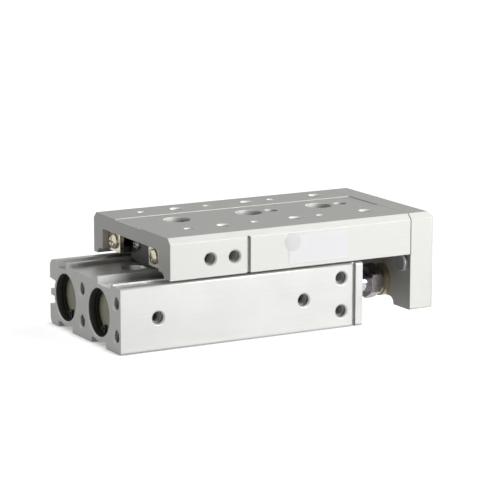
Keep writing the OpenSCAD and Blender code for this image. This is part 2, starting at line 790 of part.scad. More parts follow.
// A socket-head screw along -X whose head seats at x
module end_screw(x, y, z, head_d, head_t, d, length, key) {
    translate([x, y, z]) rotate([0, 90, 0]) cap_screw(0, 0, 0, head_d, head_t, d, length, key);
}

module end_plate_bolts() color([0.13, 0.13, 0.13])
    for (p = plate_bolts) end_screw(plate_x + plate_t - plate_head_seat, p[0], p[1], plate_head_d,
        plate_head_t, m3_core - thread_slack, plate_t - plate_head_seat + plate_thread, 2.5);

// ---------- rods and pistons ----------

module piston_rod(side) color([0.86, 0.86, 0.87]) {
    difference() {
        union() {
            bar_x(piston_front, bore_y(side), cyl_z, rod_end - piston_front, rod_d);
            bar_x(piston_x, bore_y(side), cyl_z, piston_l + 0.1, rod_stub_d);
        }
        bar_x(rod_end - rod_hole, bore_y(side), cyl_z, rod_hole + over, bolt_d);
    }
}

seal_at = piston_l * 0.3;                   // middle of the piston seal's groove
magnet_at = piston_l * 0.72;                // middle of the magnet's groove
seal_w = 2;
magnet_w = 2.6;
groove_floor = bore_d / 2 - 2.2;

module piston(side) color([0.60, 0.60, 0.62]) {
    r = bore_d / 2 - round_clear;
    turned_x(piston_x, bore_y(side), cyl_z) polygon([
        [rod_stub_d / 2 + 0.01, 0], [r - 0.4, 0], [r, 0.4], [r, seal_at - seal_w / 2],
        [groove_floor, seal_at - seal_w / 2], [groove_floor, seal_at + seal_w / 2],
        [r, seal_at + seal_w / 2], [r, magnet_at - magnet_w / 2],
        [groove_floor, magnet_at - magnet_w / 2], [groove_floor, magnet_at + magnet_w / 2],
        [r, magnet_at + magnet_w / 2], [r, piston_l - 0.4], [r - 0.4, piston_l],
        [rod_stub_d / 2 + 0.01, piston_l]]);
}

// A ring in a piston's groove, free of its walls; at is the groove's middle
module piston_ring(side, at, width, d)
    ring_x(piston_x + at - width / 2 + 0.02, bore_y(side), cyl_z, width - 0.04, d,
        2 * groove_floor + 0.02);

module piston_seal(side) color([0.10, 0.10, 0.10])
    piston_ring(side, seal_at, seal_w, bore_d - 0.04);

module piston_magnet(side) color([0.22, 0.21, 0.20])
    piston_ring(side, magnet_at, magnet_w, bore_d - 0.5);

module rod_collar(side) color([0.75, 0.75, 0.76]) {
    across = collar_af / cos(30);
    difference() {
        intersection() {
            translate([rod_end, bore_y(side), cyl_z]) rotate([0, 90, 0])
                cylinder(h = collar_t, d = across, $fn = 6);
            union() {
                cone_x(rod_end, bore_y(side), cyl_z, 0.5, across - 1.4, across);
                bar_x(rod_end + 0.5, bore_y(side), cyl_z, collar_t - 1, across);
                cone_x(rod_end + collar_t - 0.5, bore_y(side), cyl_z, 0.5, across, across - 1.4);
            }
        }
        bar_x(rod_end - over, bore_y(side), cyl_z, collar_t + 2 * over, bolt_d + thread_slack);
    }
}

module rod_washer(side) color([0.70, 0.70, 0.70])
    ring_x(rod_end + collar_t, bore_y(side), cyl_z, washer_t, washer_d, bolt_d + 0.3);

module floating_bush(side) color([0.52, 0.50, 0.40]) {
    difference() {
        union() {
            bar_x(plate_x - bush_flange_t, bore_y(side), cyl_z, bush_flange_t, bush_flange_d);
            bar_x(plate_x - 0.1, bore_y(side), cyl_z, bolt_seat_t + 0.1, bush_shank_d);
        }
        bar_x(plate_x - bush_flange_t - over, bore_y(side), cyl_z, plate_t + 2 * over,
            bolt_d + 0.3);
    }
}

module rod_end_bolts() color([0.13, 0.13, 0.13])
    for (side = [near, far])
        end_screw(plate_x + bolt_seat_t, bore_y(side), cyl_z, bolt_head_d, bolt_head_t,
            bolt_d - thread_slack, bolt_seat_t + bolt_reach, 4);

// ---------- stop ----------

stop_out = retract_gap - stop_clear;        // how far the stop stands out of the end plate
bumper_t = 0.8;

module stop_screw() color([0.62, 0.62, 0.60]) {
    length = plate_t - 1 + stop_out - bumper_t;
    difference() {
        bar_x(plate_x - stop_out + bumper_t, stop_y, stop_z, length, stop_thread);
        translate([plate_x + plate_t - stop_key - 0.6, stop_y, stop_z]) rotate([0, 90, 0])
            cylinder(h = stop_key + over, d = stop_key / cos(30), $fn = 6);
    }
}

module stop_bumper() color([0.88, 0.88, 0.86]) {
    r = stop_tip_d / 2;
    soft = 0.4;
    turned_x(plate_x - stop_out, stop_y, stop_z)
        polygon([[0, 0], [r - soft, 0], [r, soft], [r, bumper_t], [0, bumper_t]]);
}

// ---------- rails ----------

module rail(side) color([0.45, 0.45, 0.46]) {
    length = rail_end - rail_x;
    y = side > 0 ? works_y + rail_in : works_y - rail_out;
    difference() {
        translate([rail_x, y, ceiling_z - rail_h]) cube([length, rail_w, rail_h]);
        v_groove(rail_x - over, length + 2 * over, side, roller_t);
        rail_screw_places([side]) {
            translate([0, 0, ceiling_z - rail_h - over])
                cylinder(h = rail_h + 2 * over, d = m3_core + 0.4);
            translate([0, 0, ceiling_z - rail_h - over])
                cylinder(h = rail_head_seat + over, d = rail_head_d + 0.2);
        }
        for (x = [rail_x - over, rail_end - stopper_reach - 0.7])
            bar_x(x, works_y + side * stopper_screw_y, guide_z, stopper_reach + 0.7 + over,
                m3_core);
    }
}

module rail_screws() color([0.13, 0.13, 0.13])
    rail_screw_places([near, far]) translate([0, 0, ceiling_z - rail_h + rail_head_seat])
        rotate([180, 0, 0]) cap_screw(0, 0, 0, rail_head_d, rail_head_t, m3_core - thread_slack,
            rail_h - rail_head_seat + rail_thread, 2);

module roller_stopper(x, side) color([0.76, 0.74, 0.68]) {
    in_t = guide_half + 0.3;
    y = side > 0 ? works_y + in_t : works_y - rail_out + 0.5;
    difference() {
        translate([x, y, ceiling_z - rail_h + 0.1])
            cube([stopper_t, rail_out - 0.5 - in_t, rail_h - 0.2]);
        bar_x(x - over, works_y + side * stopper_screw_y, guide_z, stopper_t + 2 * over, m3_clear);
    }
}

module stopper_screws() color([0.72, 0.70, 0.64]) {
    for (side = [near, far]) {
        y = works_y + side * stopper_screw_y;
        reach = stopper_t + stopper_reach;
        d = m3_core - thread_slack;
        small_screw(rail_x - stopper_t, y, guide_z, 1, stopper_head_d, stopper_head_t, d, reach);
        small_screw(rail_end + stopper_t, y, guide_z, -1, stopper_head_d, stopper_head_t, d,
            reach);
    }
}

// ---------- cross rollers ----------

function roller_x(i) = cage_mid + (i - (roller_n - 1) / 2) * roller_pitch;

module rollers(side) color([0.88, 0.88, 0.89]) {
    length = roller_d - 0.1;
    edge = 0.25;
    for (i = [0:roller_n - 1])
        translate([roller_x(i), works_y + side * roller_t, guide_z])
            rotate([i % 2 == 0 ? 45 : -45, 0, 0]) rotate_extrude($fn = 32)
                polygon([[0, -length / 2], [roller_d / 2 - edge, -length / 2],
                    [roller_d / 2, -length / 2 + edge], [roller_d / 2, length / 2 - edge],
                    [roller_d / 2 - edge, length / 2], [0, length / 2]]);
}

module roller_cage(side) color([0.20, 0.20, 0.22]) {
    window = [roller_d + 0.2, cage_t + 2 * over, roller_d * sqrt(2) + 0.3];
    difference() {
        translate([cage_mid - cage_l / 2, works_y + side * roller_t - cage_t / 2, guide_z - cage_h / 2])
            cube([cage_l, cage_t, cage_h]);
        for (i = [0:roller_n - 1])
            translate([roller_x(i), works_y + side * roller_t, guide_z]) cube(window, center = true);
    }
}

body();
head_cap(near);  // head_cap_near
head_cap(far);  // head_cap_far
head_cap_ring(near);  // head_cap_ring_near
head_cap_ring(far);  // head_cap_ring_far
rear_retaining_ring(near);  // rear_retaining_ring_near
rear_retaining_ring(far);  // rear_retaining_ring_far
rod_cover(near);  // rod_cover_near
rod_cover(far);  // rod_cover_far
rod_cover_ring(near);  // rod_cover_ring_near
rod_cover_ring(far);  // rod_cover_ring_far
rod_seal(near);  // rod_seal_near
rod_seal(far);  // rod_seal_far
rod_bumper(near);  // rod_bumper_near
rod_bumper(far);  // rod_bumper_far
front_retaining_ring(near);  // front_retaining_ring_near
front_retaining_ring(far);  // front_retaining_ring_far
guide_block();
guide_block_bolts();
guide_end_plate_rear();
guide_end_plate_front();
guide_end_screws();
table();
end_plate();
end_plate_bolts();
rail(near);  // rail_near
rail(far);  // rail_far
rail_screws();
roller_stopper(rail_x - stopper_t, near);  // roller_stopper_rear_near
roller_stopper(rail_x - stopper_t, far);  // roller_stopper_rear_far
roller_stopper(rail_end, near);  // roller_stopper_front_near
roller_stopper(rail_end, far);  // roller_stopper_front_far
stopper_screws();
piston_rod(near);  // piston_rod_near
piston_rod(far);  // piston_rod_far
piston(near);  // piston_near
piston(far);  // piston_far
piston_seal(near);  // piston_seal_near
piston_seal(far);  // piston_seal_far
piston_magnet(near);  // piston_magnet_near
piston_magnet(far);  // piston_magnet_far
rod_collar(near);  // rod_collar_near
rod_collar(far);  // rod_collar_far
rod_washer(near);  // rod_washer_near
rod_washer(far);  // rod_washer_far
floating_bush(near);  // floating_bush_near
floating_bush(far);  // floating_bush_far
rod_end_bolts();
stop_screw();
stop_bumper();
name_label();
roller_cage(near);  // roller_cage_near
roller_cage(far);  // roller_cage_far
rollers(near);  // rollers_near
rollers(far);  // rollers_far
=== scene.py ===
"""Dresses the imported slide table: edges, finishes, threads, label, lamps, floor and camera."""
import json
import math

import bpy
from mathutils import Matrix, Vector


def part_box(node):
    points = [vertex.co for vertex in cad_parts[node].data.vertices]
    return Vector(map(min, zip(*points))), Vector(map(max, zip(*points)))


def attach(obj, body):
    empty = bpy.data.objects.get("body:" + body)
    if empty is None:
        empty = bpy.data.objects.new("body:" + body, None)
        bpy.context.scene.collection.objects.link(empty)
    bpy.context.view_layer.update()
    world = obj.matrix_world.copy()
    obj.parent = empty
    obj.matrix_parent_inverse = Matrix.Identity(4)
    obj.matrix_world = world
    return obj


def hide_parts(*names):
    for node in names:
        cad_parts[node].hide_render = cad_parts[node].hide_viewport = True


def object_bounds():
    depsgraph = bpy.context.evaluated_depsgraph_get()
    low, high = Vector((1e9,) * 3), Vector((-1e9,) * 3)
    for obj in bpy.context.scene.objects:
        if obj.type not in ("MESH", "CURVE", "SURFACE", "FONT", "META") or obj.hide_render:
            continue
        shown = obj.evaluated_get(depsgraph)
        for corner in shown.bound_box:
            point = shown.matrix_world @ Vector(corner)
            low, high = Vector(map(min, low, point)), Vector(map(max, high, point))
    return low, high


bl_info = {
    "name": "Slide table dresser",
    "version": (1, 0, 0),
    "blender": (4, 5, 0),
    "location": "3D View > Sidebar > Slide Table",
    "description": "Gives the packed slide table its edges, finishes, threads, label and studio",
    "category": "Object",
}

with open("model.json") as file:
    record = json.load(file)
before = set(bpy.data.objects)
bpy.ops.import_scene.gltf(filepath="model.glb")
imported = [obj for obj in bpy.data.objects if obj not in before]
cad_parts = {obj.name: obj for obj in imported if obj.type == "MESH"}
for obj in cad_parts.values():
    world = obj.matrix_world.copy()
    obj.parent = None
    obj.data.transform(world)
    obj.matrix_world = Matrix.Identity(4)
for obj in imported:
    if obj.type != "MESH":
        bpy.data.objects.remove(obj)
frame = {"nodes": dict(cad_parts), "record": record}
CAD_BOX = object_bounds()
MM = 0.001

# Places that the fine pieces and the turned finishes are worked from, in metres
MOUNTS = {mount["name"]: mount for mount in frame["record"]["mounts"]}
STOP_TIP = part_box("stop_bumper")
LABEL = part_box("name_label")
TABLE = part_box("table")
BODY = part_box("body")
ROD_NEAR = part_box("piston_rod_near")
ROD_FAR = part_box("piston_rod_far")
WORKS_Y = (ROD_NEAR[0].y + ROD_FAR[1].y) / 2
CYLINDER_Z = (ROD_NEAR[0].z + ROD_NEAR[1].z) / 2
HALF_PITCH = (ROD_FAR[0].y + ROD_FAR[1].y) / 2 - WORKS_Y

# Further than any spot of the part from its origin, in metres, for a range with one open end
BEYOND = 1

# Tones painted on the machined parts, as factors on their colour: painted highlights on the chamfers and
# the hole rims, painted shade in the bores and the hollows, a dark seam, and darker ends
CHAMFER_TONE = 1.4
RIM_TONE = 1.8
SEAM_TONE = 0.2
BORE_TONE = 0.25
END_TONE = 0.76
HOLLOW_TONE = 0.12

# Least and most open sky between which the painted shade of a hollow turns from dark to its full colour
HOLLOW_SKY = (0.1, 0.75)

# How far faces that count as ends look along X, and slanted rims with the painted highlight up along Z,
# as the normal's share on that axis
END_NORMAL = (0.9, 1.1)
RIM_NORMAL = (0.4, 0.95)

# Pattern of every finish: size of the patches in millimetres, their share beside the marks, and
# the stretch of the noise that is spread over the whole tone
PATCH_SIZE = 14
PATCH_SHARE = 0.35
NOISE_SPAN = (0.3, 0.7)

# Thread ridges: share of the pitch that a ridge takes, and steps in a turn
RIDGE_SHARE = 0.92
TURN_STEPS = 24

# Lamps: distance from the part's middle and width, in metres
LAMP_DISTANCE = 1.5
LAMP_SIZE = 0.8

# Floor: width in metres, and its gap under the part in millimetres
FLOOR_SIZE = 6
FLOOR_GAP = 0.02

# Camera: turn, tilt and roll in degrees, and its place in millimetres
CAMERA_ANGLES = (-29.114, 11.365, 0.068)
CAMERA_PLACE = (-409.53, -768.60, 202.81)


def linear(code):
    """sRGB hex to the linear colour that shaders take."""
    channels = [int(code[i:i + 2], 16) / 255 for i in (1, 3, 5)]
    return tuple(c / 12.92 if c <= 0.04045 else ((c + 0.055) / 1.055) ** 2.4 for c in channels)


# ---------- settings ----------


def colour_setting(name, code, description):
    """A colour for the panel, given as sRGB hex."""
    return bpy.props.FloatVectorProperty(name=name, description=description, size=3,
                                         subtype="COLOR", min=0, max=1, default=linear(code))


def length_setting(name, millimetres, description):
    """A length for the panel, given in millimetres."""
    return bpy.props.FloatProperty(name=name, description=description, unit="LENGTH",
                                   precision=6, min=0, default=millimetres * MM)


def strength_setting(name, value, description):
    """A plain number for the panel."""
    return bpy.props.FloatProperty(name=name, description=description, min=0, default=value)


class SlideTableColours(bpy.types.PropertyGroup):
    """Base colours of the finishes, one for each material slot of the record."""
    body_aluminium: colour_setting("Body aluminium", "#C5C5C3", "Clear anodised, drawn body")
    table_aluminium: colour_setting("Table aluminium", "#D1D1CD", "Clear anodised, ground table")
    cap_resin: colour_setting("Head caps", "#AEAE98", "Olive grey resin of the head caps")
    nitrile_rubber: colour_setting("Rubber", "#1C1C1C", "O-rings and seals")
    black_spring_steel: colour_setting("Retaining rings", "#34332F", "Phosphated spring steel")
    brass: colour_setting("Rod covers", "#B89A5E", "Turned brass")
    urethane: colour_setting("Bumpers", "#C9B978", "Cast urethane")
    guide_steel: colour_setting("Guide steel", "#77777A", "Hardened and ground bearing steel")
    black_resin: colour_setting("Guide end plates", "#1B1B1B", "Black acetal")
    black_oxide_steel: colour_setting("Bolts", "#1D1C1B", "Black oxide alloy steel")
    zinc_steel: colour_setting("Small screws", "#9A9892", "Bright zinc on steel")
    nickel_steel: colour_setting("Roller stoppers", "#CDC7B6", "Nickel plate on steel")
    hard_chrome: colour_setting("Piston rods", "#BDBAC4", "Polished hard chrome")
    bearing_steel: colour_setting("Rollers", "#D6D6D9", "Lapped bearing steel")
    piston_aluminium: colour_setting("Pistons", "#A9A9AA", "Turned aluminium")
    magnet: colour_setting("Magnets", "#2F2C2A", "Bonded ferrite")
    stainless_steel: colour_setting("Collars and washers", "#8C8885", "Turned stainless steel")
    bush_bronze: colour_setting("Floating bushes", "#A0977B", "Oiled bronze")
    stop_resin: colour_setting("Stop bumper", "#A6A6A3", "Natural acetal")
    label_film: colour_setting("Label", "#E4E4E6", "White vinyl film")
    # Painted shade: the threads are dark to stand for the shade deep in the tapped holes
    thread_shade: colour_setting("Threads", "#75746F", "Tapped aluminium threads")
    seal_film: colour_setting("Round seal", "#D8D8D8", "Matt grey film")


class SlideTableSizes(bpy.types.PropertyGroup):
    """Sizes of the fine pieces and of the broken edges."""
    edge: length_setting("Broken edges", 0.12, "Width of the broken edges on machined parts")
    chamfer: length_setting("Top chamfers", 2.1, "Width of the chamfers along the table's top")
    seam: length_setting("Seam", 0.2, "Half width of the line between table and end plate")
    bore_d: length_setting("Cylinder bores", 17.5, "Diameter within which the bores look dark")
    hollow: length_setting("Hollows", 3.5, "Width of the holes whose depths look dark")
    table_key: length_setting("Table key groove", 31.5, "From the table's rear to its key groove")
    body_key: length_setting("Body key groove", 3.8, "From the body's front to its key groove")
    rim: length_setting("Hole rims", 0.75, "Depth of the bright rims of the table's top holes")
    key_half: length_setting("Key half width", 0.8, "Half the width of a key groove")
    key_depth: length_setting("Key depth", 1.25, "Depth of a key groove")
    chamfer_slack: length_setting("Chamfer slack", 0.05, "How far the bright chamfers overlap")
    pitch: length_setting("M5 pitch", 0.8, "Pitch of the M5 threads")
    thread_crest: length_setting("M5 crest radius", 1.8, "Radius to the crests of an M5 thread")
    mount_pitch: length_setting("M6 pitch", 1.0, "Pitch of the M6 mounting threads")
    mount_crest: length_setting("M6 crest radius", 2.25, "Radius to the crests of an M6 thread")
    stop_pitch: length_setting("Stop pitch", 0.5, "Pitch of the stop screw's thread")
    stop_crest: length_setting("Stop crest radius", 3.45, "Radius to the stop screw's crest")
    mouth: length_setting("Mouth of a hole", 0.9, "Plain depth before a thread begins")
    seal_d: length_setting("Round seal", 6.6, "Diameter of the plain round seal by the label")
    seal_x: length_setting("Seal place", 1.7, "From the label's rear edge to the seal's middle")
    seal_drop: length_setting("Seal drop", 2.6, "From the label's top edge to the seal's middle")
    seal_rim: length_setting("Seal rim", 0.15, "Width of the slope round the seal")
    seal_step: length_setting("Seal step", 0.03, "How far the round seal stands proud of the label")
    label_corner: length_setting("Label corners", 0.8, "Corner radius of the label")


class SlideTableStudio(bpy.types.PropertyGroup):
    """Light and camera."""
    key: strength_setting("Key lamp", 22.5, "Power of the soft lamp on the port side, in watts")
    fill: strength_setting("Fill lamp", 6, "Power of the lamp low behind the rear end, in watts")
    back: strength_setting("Back lamp", 8, "Power of the lamp beyond the end plate, in watts")
    ambient: strength_setting("Ambient", 0.03, "Light from all round")
    floor_glow: strength_setting("Floor whiteness", 0.9, "How far the floor is lifted to white")
    contact: length_setting("Contact shadow", 3, "How far the dark under the part's edges reaches")
    lens: strength_setting("Lens", 174.14, "Focal length in millimetres")


# ---------- modelling helpers ----------


def deselect():
    """Leaves nothing selected, so that an operator acts only on what comes next."""
    bpy.ops.object.select_all(action="DESELECT")


def pick(obj):
    """Makes obj the only selected object, and the active one."""
    deselect()
    obj.select_set(True)
    bpy.context.view_layer.objects.active = obj


def settle(obj, name, body, slot, material=None, smooth_angle=30):
    """Puts a finished piece's place into its mesh, names it and fixes it to its body.

    Its material has the slot's name, unless another is given.
    """
    pick(obj)
    bpy.ops.object.transform_apply(location=True, rotation=True, scale=True)
    bpy.ops.object.shade_smooth_by_angle(angle=math.radians(smooth_angle))
    obj.name = name
    obj.data.name = name
    obj.data.materials.clear()
    obj.data.materials.append(finish_of(material or slot))
    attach(obj, body)
    return obj


def hole_places(mount_name):
    """(mouth, inward direction) of each hole of a mount's pattern."""
    mount = MOUNTS[mount_name]
    outward = Vector(mount["axis"])
    axes = [Vector(axis) for axis in ((1, 0, 0), (0, 1, 0), (0, 0, 1))]
    across, along = [axis for axis in axes if abs(axis.dot(outward)) < 0.5]
    half_across = mount["dims"].get("spacing_x_mm", 0) * MM / 2
    half_along = mount["dims"].get("spacing_y_mm", 0) * MM / 2
    return [(Vector(mount["pos_m"]) + across * half_across * i + along * half_along * j, -outward)
            for i in ((-1, 1) if half_across else (0,)) for j in ((-1, 1) if half_along else (0,))]


def thread_coil(crest, pitch, turns, outward=False):
    """A coil of V ridges up the Z axis whose crests reach the radius crest.

    The ridges point inwards, for a hole, or outwards, for a screw.
    """
    side = pitch * RIDGE_SHARE
    reach = side / math.sqrt(3)
    middle = crest - reach if outward else crest + reach
    deselect()
    bpy.ops.mesh.primitive_circle_add(vertices=3, radius=reach, fill_type="NOTHING",
                                      location=(middle, 0, 0),
                                      rotation=(math.pi / 2, math.pi / 2 if outward else -math.pi / 2, 0))
    coil = bpy.context.object
    bpy.ops.object.transform_apply(location=True, rotation=True, scale=True)
    wind = coil.modifiers.new("wind", "SCREW")
    wind.screw_offset = pitch
    wind.iterations = turns
    wind.steps = TURN_STEPS
    wind.render_steps = TURN_STEPS
    bpy.ops.object.modifier_apply(modifier=wind.name)
    bpy.ops.object.mode_set(mode="EDIT")
    bpy.ops.mesh.select_all(action="SELECT")
    bpy.ops.mesh.remove_doubles(threshold=0.001 * MM)
    bpy.ops.mesh.fill_holes(sides=3)
    bpy.ops.mesh.normals_make_consistent(inside=False)
    bpy.ops.object.mode_set(mode="OBJECT")
    return coil


def thread_holes(name, body, slot, mounts, crest, pitch, turns, start):
    """One thread coil is made and copied into each hole of the mounts, as one piece.

    A hole that two mounts share gets one coil.
    """
    master = thread_coil(crest, pitch, turns)
    twins = []
    places = {}
    for mouth, inward in [place for mount in mounts for place in hole_places(mount)]:
        places[tuple(round(part, 5) for part in mouth)] = (mouth, inward)
    for mouth, inward in places.values():
        twin = master.copy()
        twin.data = master.data.copy()
        turn = inward.to_track_quat("Z", "Y").to_matrix().to_4x4()
        twin.matrix_world = Matrix.Translation(mouth + inward * start) @ turn
        bpy.context.scene.collection.objects.link(twin)
        twins.append(twin)
    bpy.data.objects.remove(master)
    pick(twins[0])
    for twin in twins:
        twin.select_set(True)
    bpy.ops.object.join()
    # The coils take the dark thread colour, painted shade for the depths of the holes
    settle(bpy.context.object, name, body, slot, material="thread_shade", smooth_angle=40)


# ---------- finishes ----------


def add(tree, kind, settings=None, links=None):
    """Adds a node: settings are its properties, links fill its inputs with sockets or values."""
    made = tree.nodes.new(kind)
    for key, value in (settings or {}).items():
        setattr(made, key, value)
    for key, value in (links or {}).items():
        if isinstance(value, bpy.types.NodeSocket):
            tree.links.new(value, made.inputs[key])
        else:
            made.inputs[key].default_value = value
    return made


def sums(tree, operation, *values):
    """The result of one arithmetic operation on sockets or numbers."""
    return add(tree, "ShaderNodeMath", {"operation": operation}, dict(enumerate(values))).outputs[0]


def spread(tree, value, low, high, start=0.0, end=1.0):
    """value between start and end, spread out from low to high."""
    return add(tree, "ShaderNodeMapRange", links={
        0: value, 1: start, 2: end, 3: low, 4: high}).outputs[0]


def axes(tree, vector):
    """The X, Y and Z of a vector, as sockets."""
    return add(tree, "ShaderNodeSeparateXYZ", links={0: vector}).outputs


def lathe_place(tree, place):
    """(x, radius, 0) round the nearer cylinder axis, so that turned marks run round the part."""
    x, y, z = axes(tree, place)
    side = sums(tree, "ABSOLUTE", sums(tree, "SUBTRACT", y, WORKS_Y))
    side = sums(tree, "SUBTRACT", side, HALF_PITCH)
    height = sums(tree, "SUBTRACT", z, CYLINDER_Z)
    flat = add(tree, "ShaderNodeCombineXYZ", links={0: side, 1: height}).outputs[0]
    radius = add(tree, "ShaderNodeVectorMath", {"operation": "LENGTH"}, {0: flat})
    return add(tree, "ShaderNodeCombineXYZ", links={0: x, 1: radius.outputs["Value"]}).outputs[0]


def within(tree, value, low, high):
    """1 where value lies between low and high, else 0."""
    return sums(tree, "COMPARE", value, (low + high) / 2, (high - low) / 2)


def all_within(tree, *ranges):
    """1 where each (value, low, high) holds, else 0."""
    inside = 1.0
    for value, low, high in ranges:
        inside = sums(tree, "MULTIPLY", within(tree, value, low, high), inside)
    return inside


def key_groove(tree, place, box, middle):
    """1 in the key groove down the port side of a part whose sides lie at this box's Y, else 0."""
    sizes = bpy.context.scene.slide_table_sizes
    x, y, z = axes(tree, place)
    return all_within(tree, (x, middle - sizes.key_half, middle + sizes.key_half),
                      (y, -BEYOND, box[0].y + sizes.key_depth), (z, box[0].z, box[1].z))


def painted_light_and_seam(tree, place):
    """How light each spot of the machined parts is painted, as a factor.

    The tones are picked for looks and stay in the colour under any light. The chamfers along the table's
    top and the rims of its holes get a painted highlight. The faces that look along X are darker than the
    drawn and ground sides. The cylinder bores and the depths of the holes get painted shade, and the line
    where the end plate meets the table is dark. The key grooves keep the colour of their side, free of
    the painted shade.
    """
    sizes = bpy.context.scene.slide_table_sizes
    x, y, z = axes(tree, place)
    aside = sums(tree, "ABSOLUTE", y)
    # Painted highlight on the chamfers along the table's top
    # The chamfers run at 45 degrees, so a spot on them is told by the sum of its Y and Z
    chamfer_start = TABLE[1].y + TABLE[1].z - sizes.chamfer - sizes.chamfer_slack
    chamfer = within(tree, sums(tree, "ADD", aside, z), chamfer_start, BEYOND)
    seam = all_within(tree, (x, TABLE[1].x - sizes.seam, TABLE[1].x + sizes.seam),
                      (z, TABLE[0].z, BEYOND), (aside, TABLE[1].y - sizes.chamfer, BEYOND))
    # Painted shade in the cylinder bores
    radius = axes(tree, lathe_place(tree, place))["Y"]
    bore = all_within(tree, (radius, 0, sizes.bore_d / 2), (x, BODY[0].x, BODY[1].x))
    normal = axes(tree, add(tree, "ShaderNodeNewGeometry").outputs["True Normal"])
    # Painted highlight on the slanted rims of the table's top holes
    rim = all_within(tree, (normal["Z"], *RIM_NORMAL), (z, TABLE[1].z - sizes.rim, BEYOND),
                     (aside, -BEYOND, TABLE[1].y - 2 * sizes.chamfer))
    # Faces that look along X are made darker
    end = within(tree, sums(tree, "ABSOLUTE", normal["X"]), *END_NORMAL)
    # Painted shade in the depths of holes and recesses, darker where less open sky is seen
    open_sky = add(tree, "ShaderNodeAmbientOcclusion", {"samples": 6, "only_local": True},
                   {"Distance": sizes.hollow}).outputs["AO"]
    light = spread(tree, open_sky, HOLLOW_TONE, 1.0, *HOLLOW_SKY)
    # In the key grooves and on the rims the painted shade of the hollows is lifted
    for kept in (key_groove(tree, place, TABLE, TABLE[0].x + sizes.table_key),
                 key_groove(tree, place, BODY, BODY[1].x - sizes.body_key), rim):
        light = sums(tree, "MAXIMUM", light, kept)
    for mask, tone in ((chamfer, CHAMFER_TONE), (seam, SEAM_TONE), (bore, BORE_TONE),
                       (end, END_TONE), (rim, RIM_TONE)):
        light = sums(tree, "MULTIPLY", light, spread(tree, mask, 1.0, tone))
    return light


def finish(slot, title, metallic, roughness, mark, tone, bump, turned=False, painted_light=False, **sockets):
    """A material whose colour, roughness and relief follow one pattern of marks and one of patches.

    mark is the size of a mark in millimetres along X, Y and Z; tone is how much the marks darken
    and lighten the colour; roughness is (least, most); bump is the depth of a mark in millimetres;
    sockets are set on the shader as they are.
    """
    colour = getattr(bpy.context.scene.slide_table_colours, slot)
    material = bpy.data.materials.new(title)
    material["slot"] = slot
    material.use_nodes = True
    tree = material.node_tree
    tree.nodes.clear()
    place = add(tree, "ShaderNodeTexCoord").outputs["Object"]
    if turned:
        place = lathe_place(tree, place)
    scaled = add(tree, "ShaderNodeMapping", links={
        "Vector": place, "Scale": tuple(1 / (size * MM) for size in mark)}).outputs[0]
    marks = add(tree, "ShaderNodeTexNoise", links={
        "Vector": scaled, "Scale": 1.0, "Detail": 3.0, "Roughness": 0.55}).outputs[0]
    patches = add(tree, "ShaderNodeTexNoise", links={
        "Vector": place, "Scale": 1 / (PATCH_SIZE * MM), "Detail": 2.0}).outputs[0]
    mixed = add(tree, "ShaderNodeMix", links={0: PATCH_SHARE, 2: marks, 3: patches}).outputs[0]
    shade = spread(tree, mixed, 1 - tone, 1 + tone, *NOISE_SPAN)
    # Painted highlights on the chamfers and hole rims, painted shade in the bores and hollows, and the
    # dark seam are multiplied into the colour
    if painted_light:
        shade = sums(tree, "MULTIPLY", shade, painted_light_and_seam(tree, place))
    tint = add(tree, "ShaderNodeVectorMath", {"operation": "SCALE"},
               {0: tuple(colour), "Scale": shade}).outputs[0]
    rough = spread(tree, mixed, *roughness, *NOISE_SPAN)
    relief = add(tree, "ShaderNodeBump", links={
        "Strength": 1.0, "Distance": bump * MM, "Height": marks}).outputs[0]
    shader = add(tree, "ShaderNodeBsdfPrincipled", links={
        "Base Color": tint, "Metallic": metallic, "Roughness": rough, "Normal": relief})
    for key, value in sockets.items():
        shader.inputs[key.replace("_", " ")].default_value = value
    add(tree, "ShaderNodeOutputMaterial", links={"Surface": shader.outputs[0]})
    return material


def finish_of(slot):
    """The finish made for a material slot."""
    return next(material for material in bpy.data.materials if material.get("slot") == slot)


